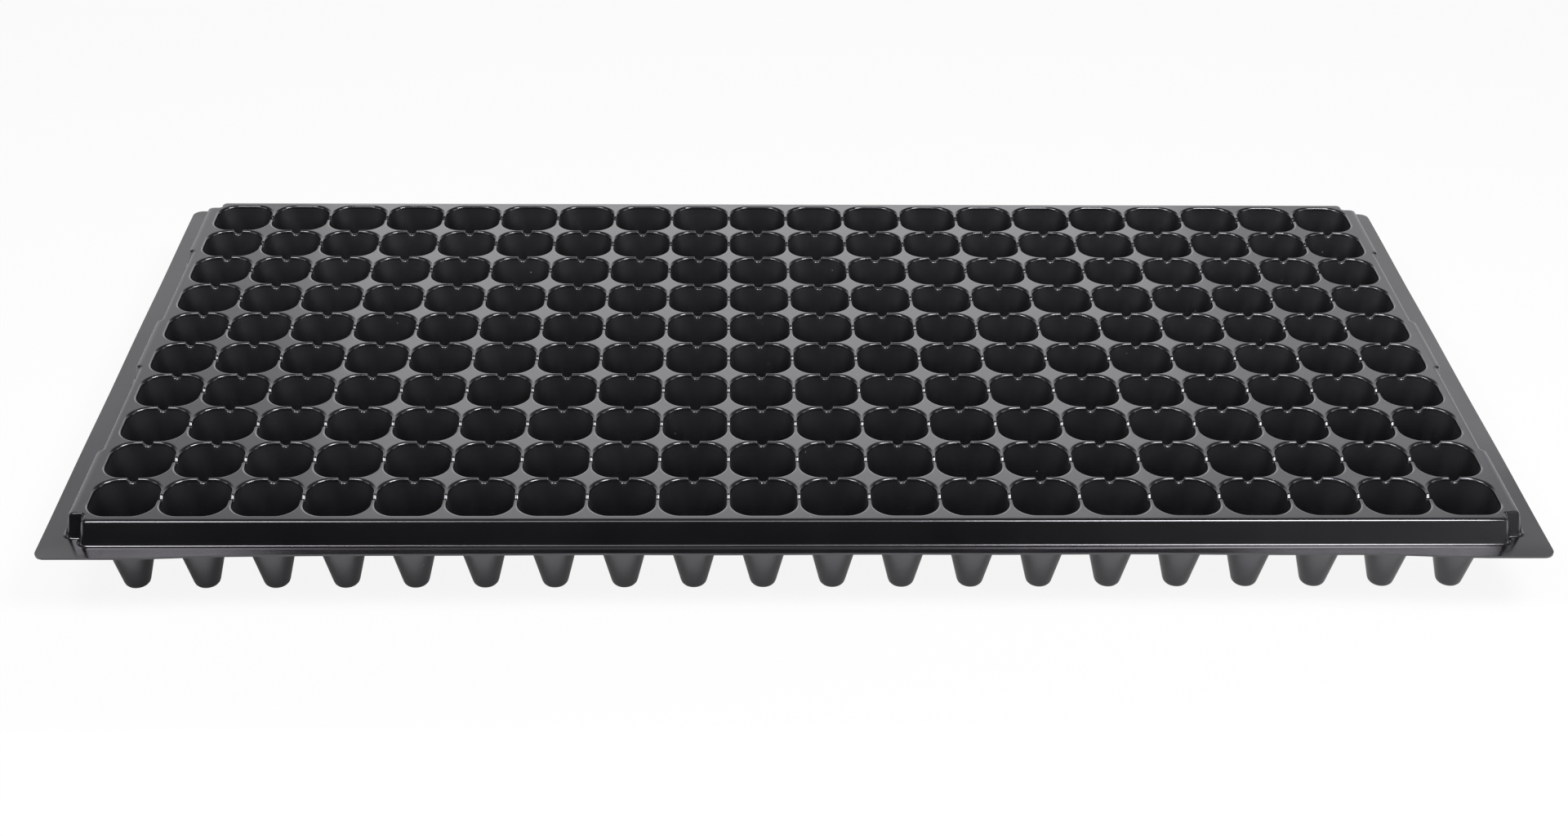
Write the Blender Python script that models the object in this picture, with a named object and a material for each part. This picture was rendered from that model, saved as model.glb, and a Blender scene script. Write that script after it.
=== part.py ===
"""Seed tray with 200 plug cells, formed from one black plastic sheet.

The long side lies along X and the front faces -Y. The origin is under the
middle of the tray, on the surface that the cell floors stand on.
"""
import math

import bmesh
import bpy
from mathutils import Vector

MM = 0.001

# Cell grid
COLUMNS = 20
ROWS = 10
CELL_PITCH = 25.5 * MM
WEB_WIDTH = 1.3 * MM

# One cell, from its rounded-square mouth down to its round floor
TRAY_HEIGHT = 37.5 * MM
MOUTH_CORNER_RADIUS = 8.8 * MM
FLOOR_DIAMETER = 8.6 * MM
FLOOR_LIP = 1.3 * MM
WALL_THICKNESS = 0.45 * MM

# Deck round the cells, and the skirt and flange outside it
SHEET_THICKNESS = 0.8 * MM
END_MARGIN = 4.6 * MM
SIDE_MARGIN = 2.9 * MM
SKIRT_HEIGHT = 9.2 * MM
SKIRT_RUN = 2.3 * MM
END_FLANGE_WIDTH = 8.1 * MM
SIDE_FLANGE_WIDTH = 7.3 * MM
FLANGE_CORNER_RADIUS = 5.0 * MM

# Step cut out of each corner of the deck
NOTCH_LENGTH = 5.6 * MM
NOTCH_DEPTH = 5.2 * MM
NOTCH_FOOT_RADIUS = 0.7 * MM
CORNER_LAND = 1.2 * MM
CORNER_TAIL = 4.5 * MM

# Shallow recesses in the end skirts, which keep stacked trays from jamming
RECESS_DEPTH = 1.8 * MM
RECESS_START = 18.0 * MM
RECESS_LENGTH = 65.5 * MM
RECESS_RAMP = 2.5 * MM

# Parting line between neighbouring regions of the sheet, and how far a cut runs past a face
SEAM = 0.2 * MM
CUT_OVERLAP = 1.0 * MM

# Sizes that follow from the ones above
FIELD_X = COLUMNS * CELL_PITCH / 2
FIELD_Y = ROWS * CELL_PITCH / 2
DECK_X = FIELD_X + END_MARGIN
DECK_Y = FIELD_Y + SIDE_MARGIN
FLANGE_X = DECK_X + SKIRT_RUN + END_FLANGE_WIDTH
FLANGE_Y = DECK_Y + SKIRT_RUN + SIDE_FLANGE_WIDTH
MOUTH_WIDTH = CELL_PITCH - WEB_WIDTH
DRAIN_DIAMETER = FLOOR_DIAMETER - 2 * FLOOR_LIP
NOTCH_RADIUS = SKIRT_RUN + NOTCH_FOOT_RADIUS
FIELD_CUT = NOTCH_LENGTH + NOTCH_DEPTH - END_MARGIN - SIDE_MARGIN + CORNER_LAND
CORNER_X = FIELD_X - FIELD_CUT - CORNER_TAIL
CORNER_Y = FIELD_Y - FIELD_CUT - CORNER_TAIL

# Colour and finish of the sheet
SHEET_COLOUR = (0.022, 0.021, 0.024, 1.0)
SHEET_ROUGHNESS = 0.38

# Faces that meet more gently than this are shaded as one curve
SMOOTH_ANGLE = math.radians(50)


def clear_scene():
    """Empties the scene."""
    for item in list(bpy.data.objects):
        bpy.data.objects.remove(item, do_unlink=True)


def sheet_material(name):
    """Black polystyrene with a satin surface."""
    material = bpy.data.materials.new(name)
    material.use_nodes = True
    shader = material.node_tree.nodes["Principled BSDF"]
    shader.inputs["Base Color"].default_value = SHEET_COLOUR
    shader.inputs["Roughness"].default_value = SHEET_ROUGHNESS
    shader.inputs["Metallic"].default_value = 0.0
    return material


def place(name, mesh, tray, location=(0, 0, 0)):
    """Puts a mesh into the scene as one named region of the tray."""
    item = bpy.data.objects.new(name, mesh)
    bpy.context.scene.collection.objects.link(item)
    item.parent = tray
    item.location = location
    item.material_slots[0].link = "OBJECT"
    item.material_slots[0].material = sheet_material(name)
    return item


def finish_mesh(shape, name):
    """Turns a bmesh into a mesh with its faces pointing out."""
    bmesh.ops.recalc_face_normals(shape, faces=shape.faces)
    mesh = bpy.data.meshes.new(name)
    shape.to_mesh(mesh)
    shape.free()
    return mesh


def shade(mesh):
    """Gives a mesh its material slot and smooth shading."""
    mesh.materials.clear()
    mesh.materials.append(None)
    mesh.shade_smooth()
    mesh.set_sharp_from_angle(angle=SMOOTH_ANGLE)
    return mesh


def loop(shape, points):
    """Closed loop of edges through the points."""
    corners = [shape.verts.new(point) for point in points]
    return [shape.edges.new((a, b)) for a, b in zip(corners, corners[1:] + corners[:1])]


def loft(shape, sections):
    """Closed body through a row of closed outlines, capped at both ends."""
    loops = [loop(shape, section) for section in sections]
    for first, second in zip(loops, loops[1:]):
        bmesh.ops.bridge_loops(shape, edges=first + second)
    for end in (loops[0], loops[-1]):
        bmesh.ops.edgeloop_fill(shape, edges=end)


def combine(body, tool, operation):
    """Mesh of a body joined with a tool or cut by it; both are used up."""
    modifier = body.modifiers.new(operation.lower(), "BOOLEAN")
    modifier.operation = operation
    modifier.solver = "EXACT"
    modifier.object = tool
    evaluated = body.evaluated_get(bpy.context.evaluated_depsgraph_get())
    mesh = bpy.data.meshes.new_from_object(evaluated)
    for item in (body, tool):
        bpy.data.objects.remove(item, do_unlink=True)
    return mesh


def working_object(name, mesh):
    """Object that only takes part in a cut or a union."""
    item = bpy.data.objects.new(name, mesh)
    item.hide_render = True
    item.display_type = "WIRE"
    bpy.context.scene.collection.objects.link(item)
    return item


def octagon(half_width, half_side, centre_y, height):
    """Square with its corners cut, as points round the cell's axis."""
    points = []
    for turn in range(4):
        angle = math.radians(90 * turn)
        for x, y in ((half_width, half_side), (half_side, half_width)):
            turned_x = x * math.cos(angle) - y * math.sin(angle)
            turned_y = x * math.sin(angle) + y * math.cos(angle)
            points.append((turned_x, centre_y + turned_y, height))
    return points


def mouth_size():
    """Half width and half side of the mouth; each cut corner keeps the rounded corner's area."""
    half_width = MOUTH_WIDTH / 2
    cut = MOUTH_CORNER_RADIUS * math.sqrt((4 - math.pi) / 2)
    return Vector((half_width, half_width - cut))


def round_size(diameter):
    """Half width and half side of the regular octagon with a circle's area."""
    half_width = diameter / 2 * math.sqrt(math.pi / (8 * (math.sqrt(2) - 1)))
    return Vector((half_width, half_width * (math.sqrt(2) - 1)))


def cell_bodies(name, floor_size, floor_height, top_size, top_height):
    """One tapered body for each row of the column."""
    shape = bmesh.new()
    for row in range(ROWS):
        centre_y = (row - (ROWS - 1) / 2) * CELL_PITCH
        floor = octagon(*floor_size, centre_y, floor_height)
        top = octagon(*top_size, centre_y, top_height)
        loft(shape, [floor, top])
    return working_object(name, finish_mesh(shape, name))


def column_outline(height, cut_side):
    """Plan of one column's deck; the outer corners of an end column are cut."""
    half_x = (CELL_PITCH - SEAM) / 2
    half_y = FIELD_Y - SEAM / 2
    points = []
    for side_x, side_y in ((-1, -1), (1, -1), (1, 1), (-1, 1)):
        along_x = (side_x * (half_x - FIELD_CUT), side_y * half_y, height)
        along_y = (side_x * half_x, side_y * (half_y - FIELD_CUT), height)
        if side_x != cut_side:
            points.append((side_x * half_x, side_y * half_y, height))
        elif side_x == side_y:
            points += [along_y, along_x]
        else:
            points += [along_x, along_y]
    return points


def column_mesh(name, cut_side):
    """One column of cups hanging from its strip of deck."""
    mouth = mouth_size()
    drain = round_size(DRAIN_DIAMETER)
    taper = (mouth - drain) / TRAY_HEIGHT
    deck_middle = TRAY_HEIGHT - SHEET_THICKNESS / 2
    wall = Vector((WALL_THICKNESS, WALL_THICKNESS * (math.sqrt(2) - 1)))
    shoulder = drain + taper * deck_middle + wall
    shape = bmesh.new()
    outlines = [column_outline(z, cut_side) for z in (TRAY_HEIGHT - SHEET_THICKNESS, TRAY_HEIGHT)]
    loft(shape, outlines)
    deck = working_object(name, finish_mesh(shape, name))
    cups = cell_bodies("cups", round_size(FLOOR_DIAMETER), 0, shoulder, deck_middle)
    deck_and_cups = working_object(name, combine(deck, cups, "UNION"))
    below, above = -CUT_OVERLAP, TRAY_HEIGHT + CUT_OVERLAP
    pockets = cell_bodies("pockets", drain + taper * below, below, drain + taper * above, above)
    mesh = combine(deck_and_cups, pockets, "DIFFERENCE")
    return shade(mesh)


def rim_section(inner, edge, outward, brim):
    """Closed profile of deck margin, skirt and flange at one place on the rim."""
    flange_top = TRAY_HEIGHT - SKIRT_HEIGHT
    slope = SKIRT_RUN / SKIRT_HEIGHT
    lag = SHEET_THICKNESS * (math.sqrt(1 + slope * slope) - slope)
    inner, edge, outward, brim = Vector(inner), Vector(edge), Vector(outward), Vector(brim)
    foot = edge + outward * SKIRT_RUN
    above = [(inner, TRAY_HEIGHT), (edge, TRAY_HEIGHT), (foot, flange_top), (brim, flange_top)]
    below = [(inner, TRAY_HEIGHT), (edge - outward * lag, TRAY_HEIGHT)]
    below += [(foot - outward * lag, flange_top), (brim, flange_top)]
    profile = [(plan.x, plan.y, height) for plan, height in above]
    profile += [(plan.x, plan.y, height - SHEET_THICKNESS) for plan, height in reversed(below)]
    return profile


def rim_mesh(name, sections):
    """One stretch of the rim through a row of profiles."""
    shape = bmesh.new()
    loft(shape, sections)
    return shade(finish_mesh(shape, name))


def side_section(x, side_y):
    """Rim profile on a long side."""
    inner = (x, side_y * (FIELD_Y + SEAM / 2))
    return rim_section(inner, (x, side_y * DECK_Y), (0, side_y), (x, side_y * FLANGE_Y))


def end_section(y, side_x, recess=0.0):
    """Rim profile on a short side."""
    inner = (side_x * (FIELD_X + SEAM / 2), y)
    return rim_section(inner, (side_x * (DECK_X - recess), y), (side_x, 0), (side_x * FLANGE_X, y))


def end_rail_sections(side_x):
    """Profiles along a short side, stepping into its two recesses and out again."""
    sections = [end_section(-CORNER_Y + SEAM / 2, side_x)]
    for side_y in (-1, 1):
        steps = [(RECESS_START, 0.0), (RECESS_START + RECESS_RAMP, RECESS_DEPTH)]
        steps += [(RECESS_START + RECESS_LENGTH - RECESS_RAMP, RECESS_DEPTH)]
        steps += [(RECESS_START + RECESS_LENGTH, 0.0)]
        ordered = steps if side_y > 0 else reversed(steps)
        sections += [end_section(side_y * y, side_x, recess) for y, recess in ordered]
    sections.append(end_section(CORNER_Y - SEAM / 2, side_x))
    return sections


def corner_sections(side_x, side_y):
    """Profiles round one corner: along the side, into the step, out of it and along the end."""
    inner_x = FIELD_X + SEAM / 2
    inner_y = FIELD_Y + SEAM / 2
    step_x = DECK_X - NOTCH_LENGTH
    step_y = DECK_Y - NOTCH_DEPTH
    edges = [(CORNER_X + SEAM / 2, DECK_Y), (step_x, DECK_Y)]
    outwards = [(0, 1), (1, 1)]
    for angle in (0, math.pi / 4, math.pi / 2):
        normal = (math.cos(angle), math.sin(angle))
        reach = NOTCH_RADIUS
        edges.append((step_x + reach * (1 - normal[0]), step_y + reach * (1 - normal[1])))
        outwards.append(normal)
    edges += [(DECK_X, step_y), (DECK_X, CORNER_Y + SEAM / 2)]
    outwards += [(1, 1), (1, 0)]
    inners = [(CORNER_X + SEAM / 2, inner_y)]
    brims = [(CORNER_X + SEAM / 2, FLANGE_Y)]
    arc_steps = len(edges) - 3
    for step in range(arc_steps + 1):
        share = step / arc_steps
        inners.append((inner_x - FIELD_CUT * (1 - share), inner_y - FIELD_CUT * share))
        angle = math.pi / 2 * (1 - share)
        reach_x = FLANGE_CORNER_RADIUS * (1 - math.cos(angle))
        reach_y = FLANGE_CORNER_RADIUS * (1 - math.sin(angle))
        brims.append((FLANGE_X - reach_x, FLANGE_Y - reach_y))
    inners.append((inner_x, CORNER_Y + SEAM / 2))
    brims.append((FLANGE_X, CORNER_Y + SEAM / 2))
    sections = []
    for points in zip(inners, edges, outwards, brims):
        sections.append(rim_section(*[(side_x * x, side_y * y) for x, y in points]))
    return sections


def build_columns(tray):
    """The twenty columns of cells, from left to right."""
    inner_mesh = column_mesh("cell_column", 0)
    for column in range(COLUMNS):
        name = f"cell_column_{column + 1:02d}"
        mesh = inner_mesh
        if column == 0:
            mesh = column_mesh(name, -1)
        if column == COLUMNS - 1:
            mesh = column_mesh(name, 1)
        centre_x = (column - (COLUMNS - 1) / 2) * CELL_PITCH
        place(name, mesh, tray, (centre_x, 0, 0))


def build_rim(tray):
    """Long sides, short sides and corners of the rim."""
    rail_x = CORNER_X - SEAM / 2
    for word_y, side_y in (("front", -1), ("back", 1)):
        name = f"rim_{word_y}"
        sections = [side_section(-rail_x, side_y), side_section(rail_x, side_y)]
        place(name, rim_mesh(name, sections), tray)
    for word_x, side_x in (("left", -1), ("right", 1)):
        name = f"rim_{word_x}"
        place(name, rim_mesh(name, end_rail_sections(side_x)), tray)
        for word_y, side_y in (("front", -1), ("back", 1)):
            name = f"corner_{word_y}_{word_x}"
            place(name, rim_mesh(name, corner_sections(side_x, side_y)), tray)


def build_tray():
    """The whole tray under one empty."""
    clear_scene()
    tray = bpy.data.objects.new("seed_tray", None)
    bpy.context.scene.collection.objects.link(tray)
    build_columns(tray)
    build_rim(tray)


build_tray()
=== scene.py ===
"""Looks of a seed tray with 200 plug cells: one formed sheet of black plastic in a white studio."""
import math

import bmesh
import bpy
from mathutils import Matrix, Vector


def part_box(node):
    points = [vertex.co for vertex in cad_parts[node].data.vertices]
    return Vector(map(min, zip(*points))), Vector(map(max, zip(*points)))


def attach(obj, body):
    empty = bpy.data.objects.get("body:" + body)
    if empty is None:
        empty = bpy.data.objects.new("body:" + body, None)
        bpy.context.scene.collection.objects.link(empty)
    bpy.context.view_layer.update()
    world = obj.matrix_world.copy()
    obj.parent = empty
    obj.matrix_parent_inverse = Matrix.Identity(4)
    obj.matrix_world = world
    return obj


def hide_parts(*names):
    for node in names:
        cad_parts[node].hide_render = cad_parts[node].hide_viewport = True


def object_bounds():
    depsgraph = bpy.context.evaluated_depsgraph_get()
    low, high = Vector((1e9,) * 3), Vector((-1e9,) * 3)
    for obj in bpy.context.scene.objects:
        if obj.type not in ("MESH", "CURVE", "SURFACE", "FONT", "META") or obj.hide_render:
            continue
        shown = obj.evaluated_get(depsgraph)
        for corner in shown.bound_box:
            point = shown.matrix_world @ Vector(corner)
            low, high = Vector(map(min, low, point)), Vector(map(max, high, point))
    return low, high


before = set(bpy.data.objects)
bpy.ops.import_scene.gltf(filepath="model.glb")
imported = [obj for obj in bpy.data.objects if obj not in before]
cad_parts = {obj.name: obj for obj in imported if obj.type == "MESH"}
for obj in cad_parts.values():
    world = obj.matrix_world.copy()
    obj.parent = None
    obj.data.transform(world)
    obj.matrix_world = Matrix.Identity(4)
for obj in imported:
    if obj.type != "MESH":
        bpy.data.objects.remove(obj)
CAD_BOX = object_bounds()

MM = 0.001
COLUMNS = 20
ROWS = 10
LONG_SIDES = (("front", -1), ("back", 1))
SHORT_SIDES = (("left", -1), ("right", 1))


def middle(node):
    """Centre of a node's box."""
    low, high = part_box(node)
    return (Vector(low) + Vector(high)) / 2


# Sizes read from the frame
SPAN = middle(f"cell_column_{COLUMNS:02d}").x - middle("cell_column_01").x
PITCH = SPAN / (COLUMNS - 1)
FIELD_X = COLUMNS * PITCH / 2
FIELD_Y = ROWS * PITCH / 2
FLANGE_X, FLANGE_Y, DECK_Z = CAD_BOX[1]

# Sheet: thick on deck and rim, drawn thin in the cups
SHEET = 0.8 * MM
FLANGE_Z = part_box("rim_front")[0][2] + SHEET
WALL = 0.45 * MM
CUP_FLOOR = 0.45 * MM

# One cell: a rounded-square mouth with a fillet that takes most of a narrow web, a collar that
# starts the wall upright, and a wall that turns round on its way down to a drained floor
MOUTH_HALF = 12.0 * MM
MOUTH_ROUNDNESS = 0.71
MOUTH_FILLET = 1.0 * MM
FILLET_SHARE = 0.94
COLLAR = 1.15 * MM
COLLAR_DEPTH = 4.7 * MM
WALL_DRAFT = 0.244
ROUND_DEPTH = 30 * MM
FLOOR_FILLET = 1.5 * MM
FOOT_FILLET = 1.9 * MM
DRAIN_RADIUS = 2.0 * MM

# Overflow notches in the webs: deep and square between two rows, softer between two columns
NOTCH_HALF = 2.2 * MM
ROW_NOTCH_DROP = 1.8 * MM
ROW_NOTCH_FLATNESS = 3
ROW_NOTCH_STEEPNESS = 1.5
COLUMN_NOTCH_DROP = 1.4 * MM

# The corners of the field of cells are cut off, which makes room for the steps in the deck
FIELD_CUT = 4.5 * MM

# Places along half a cell's side where its mesh has a spoke, finer across the notch
NOTCH_SHARES = (0, 0.15, 0.29, 0.41, 0.51, 0.61, 0.71, 0.8, 0.9, 1, 1.12)
WEB_PLACES = [3.4 * MM, 5.0 * MM, 6.6 * MM, PITCH / 2 - FIELD_CUT, 9.7 * MM, 11.2 * MM, PITCH / 2]
SPOKES = [NOTCH_HALF * share for share in NOTCH_SHARES] + WEB_PLACES

# Levels of a cell's mesh, as shares of the wall's depth, and steps of its curves
INSIDE_RINGS = (0.05, 0.11, 0.2, 0.45, 0.72)
OUTSIDE_RINGS = (0.7, 0.4, 0.15, 0)
FILLET_STEPS = 5
FOOT_STEPS = 4

# Narrow flat strip beside each rounded edge, which keeps the flat faces evenly lit
EDGE_STRIP = 0.3 * MM
STRIP_SHARE = 0.25

# Deck margin, skirt and flange
END_MARGIN = 4.6 * MM
SIDE_MARGIN = 2.9 * MM
DECK_X = FIELD_X + END_MARGIN
DECK_Y = FIELD_Y + SIDE_MARGIN
SKIRT_RUN = 2.3 * MM
DECK_EDGE_RUN = 2.6 * MM
DECK_EDGE_FILLET = 1.3 * MM
SKIRT_FOOT_FILLET = 1.2 * MM
FLANGE_CORNER = 4.0 * MM
RIM_STATION = 8 * MM
FLANGE_STEPS = 4

# Step in each corner of the deck
STEP_LENGTH = 5.6 * MM
STEP_WIDTH = 5.2 * MM
STEP_X = DECK_X - STEP_LENGTH
STEP_Y = DECK_Y - STEP_WIDTH
RIDGE_BEND = 1.5 * MM
STEP_HOLLOW = 1.5 * MM
STEP_BEND = 0.7 * MM
CORNER_X = FIELD_X - 2 * FIELD_CUT
CORNER_Y = FIELD_Y - 2 * FIELD_CUT
ARC_STEPS = 6

# Recesses in the end skirts
RECESS_DEPTH = 1.8 * MM
RECESS_START = 18 * MM
RECESS_END = 83.5 * MM
RECESS_RAMP = 2.5 * MM
RAMP_STEPS = 5

# The thin flange is drawn in between the corners, and its outer edge curls up in the middle of a
# long side, with a slight wave all round
FLANGE_BOW = 1.8 * MM
BOW_RUN = 45 * MM
CURL_LIFT = 0.75 * MM
CURL_FLAT = 105 * MM
CURL_RUN = 130 * MM
CURL_POWER = 1.4
CURL_WAVE = 0.12 * MM
WAVE_LENGTH = 95 * MM

# Faces that meet more gently than this are shaded as one curve
SMOOTH_ANGLE = math.radians(60)
WELD = 0.001 * MM

# Black polystyrene, whose colour, gloss and waves follow the way the sheet was drawn
SHEET_IOR = 1.59
SHEET_SPECULAR = 1.0
SHEET_TINT = (0.97, 0.945, 1.0, 1)
SHEET_COLOURS = [(0.3, (0.0056, 0.0053, 0.0062, 1)), (0.7, (0.0078, 0.0074, 0.0086, 1))]
SHEET_ROUGHNESS = (0.15, 0.2)
DRAWN_SCALE = 45
DRAWN_DETAIL = 3
DRAWN_RANGE = (0.3, 0.7)
DRAWN_HEIGHT = 0.4 * MM
GRAIN_SCALE = 2200
GRAIN_DETAIL = 2
GRAIN_HEIGHT = 0.02 * MM
BUMP_STRENGTH = 0.12

# Roughness that the drawing adds to the cell walls, by depth below the deck, and how far a face may
# look up before it keeps its gloss
CELL_DULLNESS = [(0.7 * MM, 0), (1.6 * MM, 0.27), (4.0 * MM, 0.27), (13 * MM, 0.06)]
UPRIGHT_RANGE = (0.35, 0.6)

# Specks of dust, in patches
DUST_COLOUR = (0.22, 0.21, 0.2, 1)
SPECK_SCALE = 150
SPECK_EDGE = (0.03, 0.05)
PATCH_SCALE = 60
PATCH_DETAIL = 1
PATCH_EDGE = (0.58, 0.66)

# Studio floor, which glows in the tray's reflections, more towards the right: a painted reflection of
# brighter light on that side
FLOOR_HALF = 4
FLOOR_GAP = 0.1 * MM
FLOOR_COLOUR = (0.86, 0.86, 0.86, 1)
FLOOR_TO_CAMERA = 0.9
FLOOR_GLOSS_SPAN = (-0.3, 0.3)
FLOOR_GLOSS = (0.1, 0.5)
MATTE = 0.9

# Card in front of the tray, out of the camera's sight and casting no shadow: a dark sheet that paints shade
# into the tray's reflections, paler towards the right as a painted reflection of brighter light there
FLAG_LEFT = -1.2
FLAG_RIGHT = 0.6
FLAG_Y = -0.20
FLAG_HEIGHT = 0.15
FLAG_SPAN = (0.06, 0.28)
FLAG_REFLECTED_SHADES = (0.02, 0.35)

# Light round the tray: dim in front of it and above, bright behind it and low down
BRIGHT_WAY = (0, 1, -0.6)
WORLD_SHADES = [(0.1, (0.1, 0.1, 0.1, 1)), (0.7, (1, 1, 1, 1))]
WHITE = (1, 1, 1, 1)

# Camera of the photograph
CAMERA_PLACE = (-0.02475, -0.79452, 0.47806)
CAMERA_TURN = (math.radians(59.071), math.radians(-0.702), math.radians(-1.174))
CAMERA_LENS = 51.45


def smooth_step(share):
    """Share from 0 to 1 with a soft start and end."""
    share = min(max(share, 0), 1)
    return share * share * (3 - 2 * share)


def spread(start, end, spacing):
    """Evenly spaced values from start to end."""
    count = math.ceil(abs(end - start) / spacing)
    return [start + (end - start) * step / count for step in range(count + 1)]


def bend(start, corner, end, steps):
    """Points of a rounded corner."""
    shares = [step / steps for step in range(steps + 1)]
    return [start.lerp(corner, t).lerp(corner.lerp(end, t), t) for t in shares]


def spoke_angles():
    """Directions round a cell's axis in which its mesh has a spoke."""
    octant = [math.atan2(place, PITCH / 2) for place in SPOKES]
    quarter = octant + [math.pi / 2 - angle for angle in reversed(octant[1:-1])]
    return [turn * math.pi / 2 + angle for turn in range(4) for angle in quarter]


def side_of(angle):
    """Unit step towards the neighbour on the side that a direction points to."""
    quarter_turns = round(angle / (math.pi / 2)) % 4
    return ((1, 0), (0, 1), (-1, 0), (0, -1))[quarter_turns]


def rounded_square(angle, half_width, roundness):
    """Distance from the axis to a rounded square, in one direction."""
    across, along = sorted((abs(math.cos(angle)), abs(math.sin(angle))), reverse=True)
    radius = half_width * roundness
    centre = half_width - radius
    if half_width * along <= centre * across:
        return half_width / across
    reach = centre * (across + along)
    return reach + math.sqrt(reach * reach - 2 * centre * centre + radius * radius)


def wall_reach(angle, depth):
    """Distance from the axis to a cell's inner wall: square at the mouth, round lower down."""
    collar = COLLAR * (1 - math.exp(-depth / COLLAR_DEPTH))
    half_width = MOUTH_HALF + collar - WALL_DRAFT * depth
    roundness = MOUTH_ROUNDNESS + (1 - MOUTH_ROUNDNESS) * min(depth / ROUND_DEPTH, 1)
    return rounded_square(angle, half_width, roundness)


def border_reach(angle, cut_corners):
    """Distance from the axis to the middle of the webs, or to the cut corner of the field."""
    across = abs(math.cos(angle))
    along = abs(math.sin(angle))
    reach = PITCH / 2 / max(across, along)
    corner = (math.copysign(1, math.cos(angle)), math.copysign(1, math.sin(angle)))
    if corner in cut_corners:
        reach = min(reach, (PITCH - FIELD_CUT) / (across + along))
    return reach


def notch_drop(angle, shared_sides):
    """How far the web dips in one direction."""
    side = side_of(angle)
    if side not in shared_sides:
        return 0
    offset = PITCH / 2 * math.tan(abs((angle + math.pi / 4) % (math.pi / 2) - math.pi / 4))
    share = min(offset / NOTCH_HALF, 1)
    if side[0]:
        return COLUMN_NOTCH_DROP * smooth_step(1 - share)
    return ROW_NOTCH_DROP * (1 - share ** ROW_NOTCH_FLATNESS) ** ROW_NOTCH_STEEPNESS


def cell_inside(angle, border, drop):
    """Points from the middle of a web over the mouth's edge and down the inside to the drain."""
    half_web = border - wall_reach(angle, drop)
    fillet = min(MOUTH_FILLET, FILLET_SHARE * half_web)
    flat = half_web - fillet
    points = [Vector((border, DECK_Z - drop))]
    points.append(Vector((border - flat + min(EDGE_STRIP, flat / 2), DECK_Z - drop)))
    for step in range(FILLET_STEPS + 1):
        turn = math.pi / 2 * step / FILLET_STEPS
        depth = drop + fillet * (1 - math.cos(turn))
        reach = wall_reach(angle, depth) + fillet * (1 - math.sin(turn))
        points.append(Vector((reach, DECK_Z - depth)))
    top = drop + fillet
    bottom = DECK_Z - CUP_FLOOR - FLOOR_FILLET
    for share in INSIDE_RINGS:
        depth = top + (bottom - top) * share
        points.append(Vector((wall_reach(angle, depth), DECK_Z - depth)))
    start = Vector((wall_reach(angle, bottom), DECK_Z - bottom))
    corner = Vector((wall_reach(angle, DECK_Z - CUP_FLOOR), CUP_FLOOR))
    points += bend(start, corner, corner - Vector((FLOOR_FILLET, 0)), FOOT_STEPS)
    points.append(Vector((DRAIN_RADIUS, CUP_FLOOR)))
    return points


def cell_outside(angle, border, drop):
    """Points from the drain round the foot and up the outside to the underside of the web."""
    points = [Vector((DRAIN_RADIUS, 0))]
    corner = Vector((wall_reach(angle, DECK_Z) + WALL, 0))
    end = Vector((wall_reach(angle, DECK_Z - FOOT_FILLET) + WALL, FOOT_FILLET))
    points += bend(corner - Vector((FOOT_FILLET, 0)), corner, end, FOOT_STEPS)
    top = drop + SHEET
    bottom = DECK_Z - FOOT_FILLET
    for share in OUTSIDE_RINGS:
        depth = top + (bottom - top) * share
        points.append(Vector((wall_reach(angle, depth) + WALL, DECK_Z - depth)))
    points.append(Vector((border, DECK_Z - drop - SHEET)))
    return points


def add_cell(shape, row, cut_side):
    """One cell of a column, with the half webs round it."""
    shared_sides = {(1, 0), (-1, 0), (0, 1), (0, -1)}
    seam_sides = {(1, 0), (-1, 0)}
    cut_corners = set()
    if cut_side:
        shared_sides.discard((cut_side, 0))
    for end_row, side in ((0, -1), (ROWS - 1, 1)):
        if row == end_row:
            shared_sides.discard((0, side))
            seam_sides.add((0, side))
            cut_corners.add((cut_side, side))
    centre_y = (row - (ROWS - 1) / 2) * PITCH
    angles = spoke_angles()
    spokes = []
    for angle in angles:
        border = border_reach(angle, cut_corners)
        drop = notch_drop(angle, shared_sides)
        profile = cell_inside(angle, border, drop) + cell_outside(angle, border, drop)
        points = [(reach * math.cos(angle), centre_y + reach * math.sin(angle), z) for reach, z in profile]
        spokes.append([shape.verts.new(point) for point in points])
    next_spokes = spokes[1:] + spokes[:1]
    next_angles = angles[1:] + [math.tau]
    for spoke, next_spoke, angle, next_angle in zip(spokes, next_spokes, angles, next_angles):
        for level in range(len(spoke) - 1):
            shape.faces.new((spoke[level], spoke[level + 1], next_spoke[level + 1], next_spoke[level]))
        if side_of((angle + next_angle) / 2) in seam_sides:
            shape.faces.new((spoke[-1], spoke[0], next_spoke[0], next_spoke[-1]))


def finish_mesh(shape, name):
    """Turns a bmesh into a smoothly shaded mesh with its faces pointing out."""
    bmesh.ops.remove_doubles(shape, verts=shape.verts, dist=WELD)
    bmesh.ops.recalc_face_normals(shape, faces=shape.faces)
    mesh = bpy.data.meshes.new(name)
    shape.to_mesh(mesh)
    shape.free()
    mesh.shade_smooth()
    mesh.set_sharp_from_angle(angle=SMOOTH_ANGLE)
    return mesh


def column_mesh(name, cut_side):
    """Ten cells in a row from front to back, with their strip of deck."""
    shape = bmesh.new()
    for row in range(ROWS):
        add_cell(shape, row, cut_side)
    return finish_mesh(shape, name)


def flange_bow(place, half_length):
    """How far the flange's outer edge is drawn in at one place along a side."""
    return FLANGE_BOW * smooth_step((half_length - abs(place)) / BOW_RUN)


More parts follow.
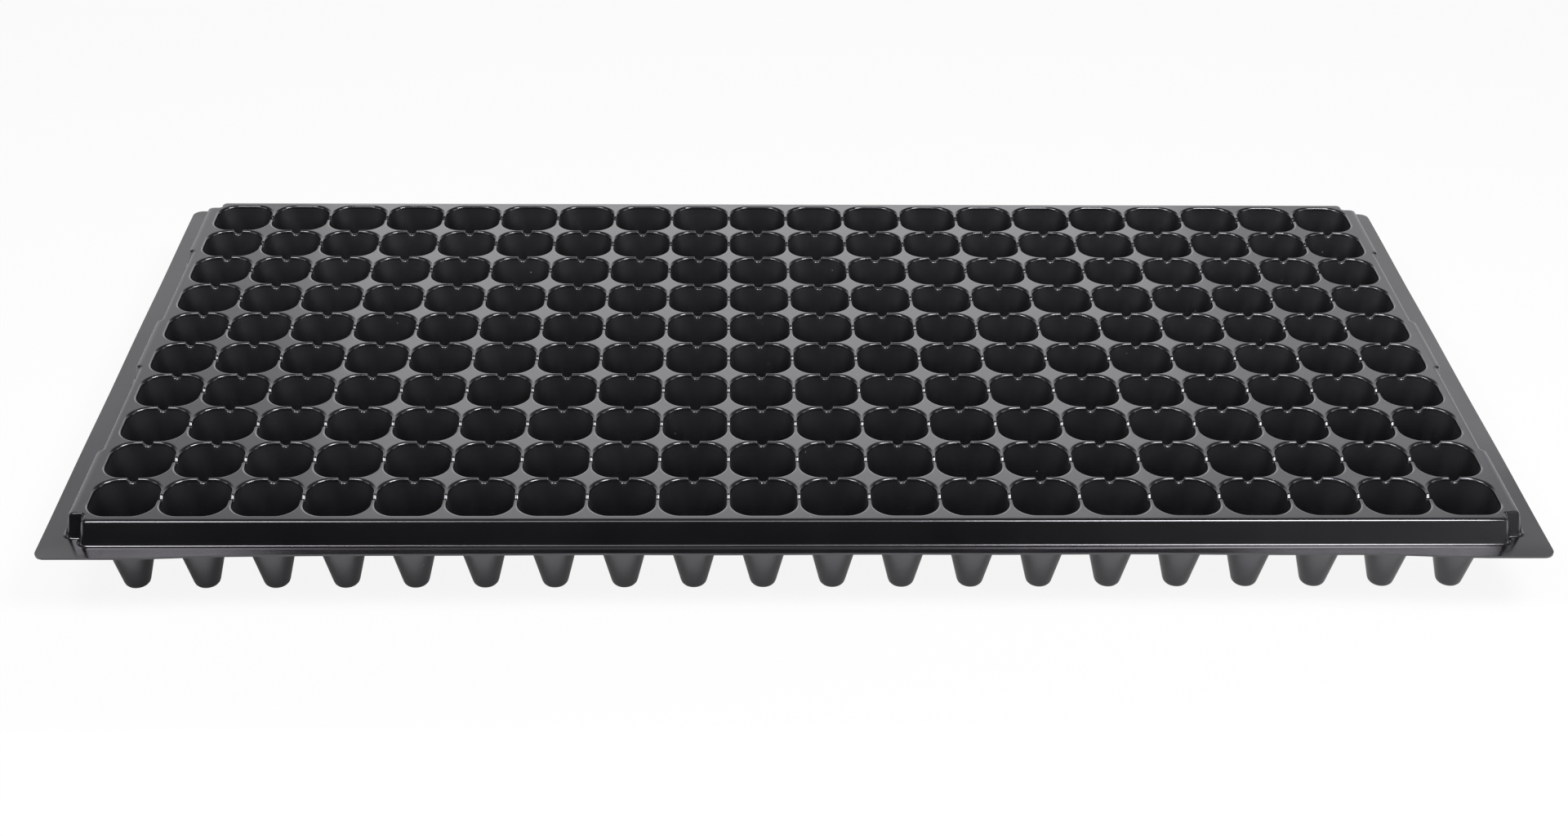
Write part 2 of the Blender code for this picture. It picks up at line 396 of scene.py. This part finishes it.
def flange_height(place):
    """Height of the flange's upper side: flat beside the skirt and curled towards its outer edge."""
    root_x = DECK_X + SKIRT_RUN
    root_y = DECK_Y + SKIRT_RUN
    share_x = max(abs(place.x) - root_x, 0) / (FLANGE_X - root_x)
    share_y = max(abs(place.y) - root_y, 0) / (FLANGE_Y - root_y)
    lap = math.tau / WAVE_LENGTH
    curl = CURL_LIFT * (1 - smooth_step((abs(place.x) - CURL_FLAT) / CURL_RUN))
    side_lift = (curl + CURL_WAVE * math.sin(lap * place.x)) * share_y ** CURL_POWER
    end_lift = CURL_WAVE * math.sin(lap * place.y) * share_x ** CURL_POWER
    return FLANGE_Z + side_lift + end_lift


def rim_path(places, edge_runs, foot_runs, drop):
    """One face of the sheet across the rim: deck, rounded edge, skirt, rounded foot and flange."""
    heights = (DECK_Z, DECK_Z, FLANGE_Z, FLANGE_Z)
    corners = [Vector((*place, height - drop)) for place, height in zip(places, heights)]
    path = [corners[0]]
    for index, (run_before, run_after) in ((1, edge_runs), (2, foot_runs)):
        before, corner, after = corners[index - 1:index + 2]
        back = (before - corner).normalized()
        ahead = (after - corner).normalized()
        start = corner + back * run_before
        end = corner + ahead * run_after
        path.append(start + back * min(EDGE_STRIP, run_before * STRIP_SHARE))
        path += bend(start, corner, end, FILLET_STEPS)
        path.append(end + ahead * EDGE_STRIP)
    root = path[-1]
    for step in range(1, FLANGE_STEPS + 1):
        point = root.lerp(corners[-1], step / FLANGE_STEPS)
        point.z = flange_height(point) - drop
        path.append(point)
    return path


def rim_section(inner, edge, outward, brim):
    """Closed profile of deck margin, skirt and flange at one place on the rim."""
    inner, edge, outward, brim = Vector(inner), Vector(edge), Vector(outward), Vector(brim)
    foot = edge + outward * SKIRT_RUN
    edge_run = min(DECK_EDGE_RUN, (edge - inner).length / 2)
    upper = rim_path(
        (inner, edge, foot, brim),
        (edge_run, DECK_EDGE_FILLET),
        (SKIRT_FOOT_FILLET, SKIRT_FOOT_FILLET),
        0,
    )
    slope = SKIRT_RUN / (DECK_Z - FLANGE_Z)
    lag = SHEET * (math.sqrt(1 + slope * slope) - slope)
    lower = rim_path(
        (inner, edge - outward * lag, foot - outward * lag, brim),
        (edge_run / 2, DECK_EDGE_FILLET / 2),
        (SKIRT_FOOT_FILLET, SKIRT_FOOT_FILLET + SHEET),
        SHEET,
    )
    return upper + list(reversed(lower))


def rim_mesh(name, sections):
    """One stretch of the rim through a row of profiles."""
    shape = bmesh.new()
    loops = [[shape.verts.new(point) for point in section] for section in sections]
    for first, second in zip(loops, loops[1:]):
        for index in range(len(first)):
            shape.faces.new((first[index - 1], first[index], second[index], second[index - 1]))
    shape.faces.new(loops[0])
    shape.faces.new(loops[-1])
    return finish_mesh(shape, name)


def side_sections(side_y):
    """Profiles along a long side."""
    sections = []
    for x in spread(-CORNER_X, CORNER_X, RIM_STATION):
        reach = FLANGE_Y - flange_bow(x, CORNER_X)
        inner, edge, brim = [(x, side_y * y) for y in (FIELD_Y, DECK_Y, reach)]
        sections.append(rim_section(inner, edge, (0, side_y), brim))
    return sections


def recess_at(y):
    """How far the end skirt is set back at one place."""
    into = smooth_step((abs(y) - RECESS_START) / RECESS_RAMP)
    out_of = smooth_step((RECESS_END - abs(y)) / RECESS_RAMP)
    return RECESS_DEPTH * min(into, out_of)


def end_sections(side_x):
    """Profiles along a short side, stepping into its two recesses and out again."""
    ramps = [(RECESS_START, RECESS_START + RECESS_RAMP), (RECESS_END - RECESS_RAMP, RECESS_END)]
    half = [CORNER_Y]
    for start, end in ramps:
        half += spread(start, end, RECESS_RAMP / RAMP_STEPS)
    for y in spread(0, CORNER_Y, RIM_STATION)[1:-1]:
        if not any(start <= y <= end for start, end in ramps):
            half.append(y)
    sections = []
    for y in sorted([-y for y in half] + [0] + half):
        inner, edge, brim = [(side_x * x, y) for x in (FIELD_X, DECK_X - recess_at(y), FLANGE_X)]
        sections.append(rim_section(inner, edge, (side_x, 0), brim))
    return sections


def corner_brim(share):
    """Point on the flange's outer edge, from the end of the long side round the corner."""
    start_x = STEP_X - RIDGE_BEND
    arc_x = FLANGE_X - FLANGE_CORNER
    arc_y = FLANGE_Y - FLANGE_CORNER
    lengths = (arc_x - start_x, FLANGE_CORNER * math.pi / 2, arc_y - (STEP_Y - STEP_BEND))
    run = share * sum(lengths)
    if run <= lengths[0]:
        return start_x + run, FLANGE_Y
    if run >= lengths[0] + lengths[1]:
        return FLANGE_X, arc_y - (run - lengths[0] - lengths[1])
    turn = math.pi / 2 - (run - lengths[0]) / FLANGE_CORNER
    return arc_x + FLANGE_CORNER * math.cos(turn), arc_y + FLANGE_CORNER * math.sin(turn)


def step_edges():
    """Points on the deck's edge round a step, each with its outward direction."""
    bends = [
        (STEP_X - RIDGE_BEND, DECK_Y - RIDGE_BEND, RIDGE_BEND, math.pi / 2, 0),
        (STEP_X + STEP_HOLLOW, STEP_Y + STEP_HOLLOW, -STEP_HOLLOW, 0, math.pi / 2),
        (DECK_X - STEP_BEND, STEP_Y - STEP_BEND, STEP_BEND, math.pi / 2, 0),
    ]
    edges = []
    for x, y, radius, first, last in bends:
        for step in range(ARC_STEPS + 1):
            turn = first + (last - first) * step / ARC_STEPS
            outward = (math.cos(turn), math.sin(turn))
            edges.append(((x + radius * outward[0], y + radius * outward[1]), outward))
    return edges


def corner_sections(side_x, side_y):
    """Profiles round one corner: along the side, into the step, out of it and along the end."""
    edges = step_edges()
    stations = [((CORNER_X, FIELD_Y), (CORNER_X, DECK_Y), (0, 1), (CORNER_X, FLANGE_Y))]
    for index, (edge, outward) in enumerate(edges):
        share = index / (len(edges) - 1)
        inner = (FIELD_X - FIELD_CUT * (1 - share), FIELD_Y - FIELD_CUT * share)
        stations.append((inner, edge, outward, corner_brim(share)))
    stations.append(((FIELD_X, CORNER_Y), (DECK_X, CORNER_Y), (1, 0), (FLANGE_X, CORNER_Y)))
    mirrored = [[(side_x * x, side_y * y) for x, y in station] for station in stations]
    return [rim_section(*station) for station in mirrored]


def set_inputs(node, inputs):
    """Sets some inputs of a shader node, with _ for each blank in their names."""
    for name, value in inputs.items():
        node.inputs[name.replace("_", " ")].default_value = value


def add_node(tree, kind, **inputs):
    """Shader node with some of its inputs set."""
    node = tree.nodes.new(kind)
    set_inputs(node, inputs)
    return node


def new_material(name, **inputs):
    """Material, with its tree and its shader, some of whose inputs are set."""
    material = bpy.data.materials.new(name)
    material.use_nodes = True
    shader = material.node_tree.nodes["Principled BSDF"]
    set_inputs(shader, inputs)
    return material, material.node_tree, shader


def object_place(tree):
    """Place on the object."""
    return tree.nodes.new("ShaderNodeTexCoord").outputs["Object"]


def component(tree, vector, axis):
    """One component of a vector."""
    node = tree.nodes.new("ShaderNodeSeparateXYZ")
    tree.links.new(vector, node.inputs["Vector"])
    return node.outputs[axis]


def noise(tree, place, scale, detail):
    """Soft noise over the surface."""
    node = add_node(tree, "ShaderNodeTexNoise", Scale=scale, Detail=detail)
    tree.links.new(place, node.inputs["Vector"])
    return node.outputs["Fac"]


def ranged(tree, value, span, result):
    """Value carried from one range to another."""
    node = add_node(
        tree, "ShaderNodeMapRange", From_Min=span[0], From_Max=span[1], To_Min=result[0], To_Max=result[1])
    tree.links.new(value, node.inputs["Value"])
    return node.outputs["Result"]


def combined(tree, operation, *values):
    """Result of a math operation on some values."""
    node = tree.nodes.new("ShaderNodeMath")
    node.operation = operation
    for value, socket in zip(values, node.inputs):
        tree.links.new(value, socket)
    return node.outputs["Value"]


def ramp(tree, value, stops, interpolation="LINEAR"):
    """Colour that follows a value through some stops."""
    node = tree.nodes.new("ShaderNodeValToRGB")
    node.color_ramp.interpolation = interpolation
    elements = node.color_ramp.elements
    while len(elements) < len(stops):
        elements.new(1)
    for element, (position, colour) in zip(elements, stops):
        element.position = position
        element.color = colour
    tree.links.new(value, node.inputs["Fac"])
    return node.outputs["Color"]


def blend_surfaces(tree, share, first, second, output):
    """Ends a shader tree in a mix of two surfaces."""
    node = tree.nodes.new("ShaderNodeMixShader")
    for value, socket in zip((share, first, second), node.inputs):
        tree.links.new(value, socket)
    tree.links.new(node.outputs["Shader"], tree.nodes[output].inputs["Surface"])


def dust_mask(tree, place):
    """Small specks, gathered in patches."""
    specks = add_node(tree, "ShaderNodeTexVoronoi", Scale=SPECK_SCALE)
    tree.links.new(place, specks.inputs["Vector"])
    near = ranged(tree, specks.outputs["Distance"], SPECK_EDGE, (1, 0))
    patches = ranged(tree, noise(tree, place, PATCH_SCALE, PATCH_DETAIL), PATCH_EDGE, (0, 1))
    return combined(tree, "MULTIPLY", near, patches)


def sheet_colour(tree, place, drawn):
    """Black that varies slightly with the drawing of the sheet, with dust on it."""
    node = tree.nodes.new("ShaderNodeMix")
    node.data_type = "RGBA"
    node.inputs["B"].default_value = DUST_COLOUR
    tree.links.new(dust_mask(tree, place), node.inputs["Factor"])
    tree.links.new(ramp(tree, drawn, SHEET_COLOURS), node.inputs["A"])
    return node.outputs["Result"]


def drawn_roughness(tree, place, base, dull_stops):
    """Roughness that rises on upright faces, by their depth below the deck."""
    depth = ranged(tree, component(tree, place, "Z"), (DECK_Z, 0), (0, 1))
    stops = [(stop / DECK_Z, (value, value, value, 1)) for stop, value in dull_stops]
    normal = tree.nodes.new("ShaderNodeNewGeometry").outputs["Normal"]
    upright = ranged(tree, component(tree, normal, "Z"), UPRIGHT_RANGE, (1, 0))
    return combined(tree, "MULTIPLY_ADD", ramp(tree, depth, stops), upright, base)


def sheet_relief(tree, drawn, grain):
    """Normal with the waves of the drawn sheet and its fine grain."""
    waves = add_node(tree, "ShaderNodeBump", Strength=BUMP_STRENGTH, Distance=DRAWN_HEIGHT)
    tree.links.new(drawn, waves.inputs["Height"])
    skin = add_node(tree, "ShaderNodeBump", Strength=BUMP_STRENGTH, Distance=GRAIN_HEIGHT)
    tree.links.new(grain, skin.inputs["Height"])
    tree.links.new(waves.outputs["Normal"], skin.inputs["Normal"])
    return skin.outputs["Normal"]


def sheet_material(name, dull_stops=()):
    """Black polystyrene: satin, duller where it is drawn deep, with fine grain and a few specks of dust."""
    material, tree, shader = new_material(
        name, IOR=SHEET_IOR, Specular_IOR_Level=SHEET_SPECULAR, Specular_Tint=SHEET_TINT)
    place = object_place(tree)
    drawn = noise(tree, place, DRAWN_SCALE, DRAWN_DETAIL)
    grain = noise(tree, place, GRAIN_SCALE, GRAIN_DETAIL)
    roughness = ranged(tree, drawn, DRAWN_RANGE, SHEET_ROUGHNESS)
    if dull_stops:
        roughness = drawn_roughness(tree, place, roughness, dull_stops)
    tree.links.new(sheet_colour(tree, place, drawn), shader.inputs["Base Color"])
    tree.links.new(roughness, shader.inputs["Roughness"])
    tree.links.new(sheet_relief(tree, drawn, grain), shader.inputs["Normal"])
    return material


def dress(name, mesh, material):
    """Puts a mesh on the tray in place of its node."""
    mesh.materials.append(material)
    piece = bpy.data.objects.new(f"{name}_sheet", mesh)
    bpy.context.scene.collection.objects.link(piece)
    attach(piece, "root")
    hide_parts(name)


def build_columns(material):
    """The twenty columns of cells, from left to right."""
    plain = column_mesh("cell_column", 0)
    for column in range(COLUMNS):
        name = f"cell_column_{column + 1:02d}"
        if column == 0:
            mesh = column_mesh(name, -1)
        elif column == COLUMNS - 1:
            mesh = column_mesh(name, 1)
        else:
            mesh = plain.copy()
            mesh.name = name
        mesh.transform(Matrix.Translation(((column - (COLUMNS - 1) / 2) * PITCH, 0, 0)))
        dress(name, mesh, material)
    bpy.data.meshes.remove(plain)


def build_rim(material):
    """Long sides, short sides and corners of the rim."""
    for word_y, side_y in LONG_SIDES:
        name = f"rim_{word_y}"
        dress(name, rim_mesh(name, side_sections(side_y)), material)
    for word_x, side_x in SHORT_SIDES:
        name = f"rim_{word_x}"
        dress(name, rim_mesh(name, end_sections(side_x)), material)
        for word_y, side_y in LONG_SIDES:
            name = f"corner_{word_y}_{word_x}"
            dress(name, rim_mesh(name, corner_sections(side_x, side_y)), material)


def add_panel(name, corners, material):
    """One flat face of the studio."""
    shape = bmesh.new()
    shape.faces.new([shape.verts.new(corner) for corner in corners])
    mesh = bpy.data.meshes.new(name)
    shape.to_mesh(mesh)
    shape.free()
    mesh.materials.append(material)
    panel = bpy.data.objects.new(name, mesh)
    bpy.context.scene.collection.objects.link(panel)
    return panel


def floor_material():
    """White floor: the camera sees it as plain white, with the tray's soft shadow, and in the tray's
    reflections it glows more towards the right, a painted reflection of brighter light there.
    """
    material, tree, shader = new_material(
        "studio_floor", Base_Color=FLOOR_COLOUR, Roughness=MATTE, Specular_IOR_Level=0.0)
    path = tree.nodes.new("ShaderNodeLightPath")
    to_camera = ranged(tree, path.outputs["Is Camera Ray"], (0, 1), (0, FLOOR_TO_CAMERA))
    # Glow seen in reflections, rising towards the right: painted reflection of brighter light on that side
    gloss = ranged(tree, component(tree, object_place(tree), "X"), FLOOR_GLOSS_SPAN, FLOOR_GLOSS)
    in_gloss = combined(tree, "MULTIPLY", path.outputs["Is Glossy Ray"], gloss)
    share = combined(tree, "ADD", to_camera, in_gloss)
    glow = add_node(tree, "ShaderNodeEmission", Strength=1.0)
    blend_surfaces(tree, share, shader.outputs["BSDF"], glow.outputs["Emission"], "Material Output")
    return material


def build_floor():
    """Large plain floor just under the cups."""
    height = CAD_BOX[0][2] - FLOOR_GAP
    corners = [(FLOOR_HALF * x, FLOOR_HALF * y, height) for x, y in ((-1, -1), (1, -1), (1, 1), (-1, 1))]
    add_panel("studio_floor", corners, floor_material())


def build_flag():
    """Card in front of the tray, which its front face reflects: black, a painted reflection of shade, and
    paler towards the right, a painted reflection of brighter light there.
    """
    material, tree, shader = new_material("front_shade_card", Roughness=MATTE)
    # Painted reflection: dark for the shade in front of the tray, paler towards the right for brighter light
    # there
    reflected_shade = ranged(tree, component(tree, object_place(tree), "X"), FLAG_SPAN, FLAG_REFLECTED_SHADES)
    tree.links.new(reflected_shade, shader.inputs["Base Color"])
    outline = ((FLAG_LEFT, 0), (FLAG_RIGHT, 0), (FLAG_RIGHT, FLAG_HEIGHT), (FLAG_LEFT, FLAG_HEIGHT))
    flag = add_panel("front_shade_card", [(x, FLAG_Y, z) for x, z in outline], material)
    flag.visible_camera = False
    flag.visible_shadow = False


def build_world():
    """Light round the tray, plain white to the camera."""
    world = bpy.data.worlds.new("studio")
    bpy.context.scene.world = world
    world.use_nodes = True
    tree = world.node_tree
    light = tree.nodes["Background"]
    facing = tree.nodes.new("ShaderNodeVectorMath")
    facing.operation = "DOT_PRODUCT"
    facing.inputs[1].default_value = BRIGHT_WAY
    tree.links.new(tree.nodes.new("ShaderNodeTexCoord").outputs["Generated"], facing.inputs[0])
    tree.links.new(ramp(tree, facing.outputs["Value"], WORLD_SHADES, "EASE"), light.inputs["Color"])
    white = add_node(tree, "ShaderNodeBackground", Color=WHITE, Strength=1.0)
    to_camera = tree.nodes.new("ShaderNodeLightPath").outputs["Is Camera Ray"]
    blend_surfaces(tree, to_camera, light.outputs["Background"], white.outputs["Background"], "World Output")


def add_lamp(name, place, size, power):
    """Soft box aimed at the middle of the tray."""
    lamp = bpy.data.lights.new(name, "AREA")
    lamp.shape = "RECTANGLE"
    lamp.size, lamp.size_y = size
    lamp.energy = power
    item = bpy.data.objects.new(name, lamp)
    item.location = place
    item.rotation_euler = (-Vector(place)).to_track_quat("-Z", "Y").to_euler()
    item.visible_camera = False
    bpy.context.scene.collection.objects.link(item)


def build_lamps():
    """Soft boxes: three high in front, one low on either side, and two behind that the deck reflects."""
    add_lamp("left_box", place=(-0.5, -0.5, 0.9), size=(0.46, 0.3), power=4.7)
    add_lamp("right_box", place=(0.385, -0.5, 0.9), size=(0.43, 0.3), power=7.8)
    add_lamp("middle_box", place=(-0.05, -0.5, 0.95), size=(0.44, 0.3), power=1.0)
    add_lamp("left_low_box", place=(-1.0, -0.5, 0.3), size=(0.9, 0.5), power=2.0)
    add_lamp("right_low_box", place=(1.0, -0.5, 0.3), size=(0.9, 0.5), power=2.5)
    add_lamp("back_box", place=(0, 1.35, 0.62), size=(0.9, 0.7), power=1.6)
    add_lamp("back_right_box", place=(0.58, 1.2, 0.78), size=(0.35, 0.2), power=0.1)


def build_camera():
    """Camera in the photograph's place."""
    data = bpy.data.cameras.new("camera")
    data.lens = CAMERA_LENS
    camera = bpy.data.objects.new("camera", data)
    camera.location = CAMERA_PLACE
    camera.rotation_euler = CAMERA_TURN
    bpy.context.scene.collection.objects.link(camera)
    bpy.context.scene.camera = camera


def build_scene():
    """Tray, floor, light and camera."""
    build_columns(sheet_material("drawn_sheet", CELL_DULLNESS))
    build_rim(sheet_material("formed_sheet"))
    build_floor()
    build_world()
    build_lamps()
    build_flag()
    build_camera()
    bpy.context.scene.view_settings.view_transform = "Standard"


build_scene()
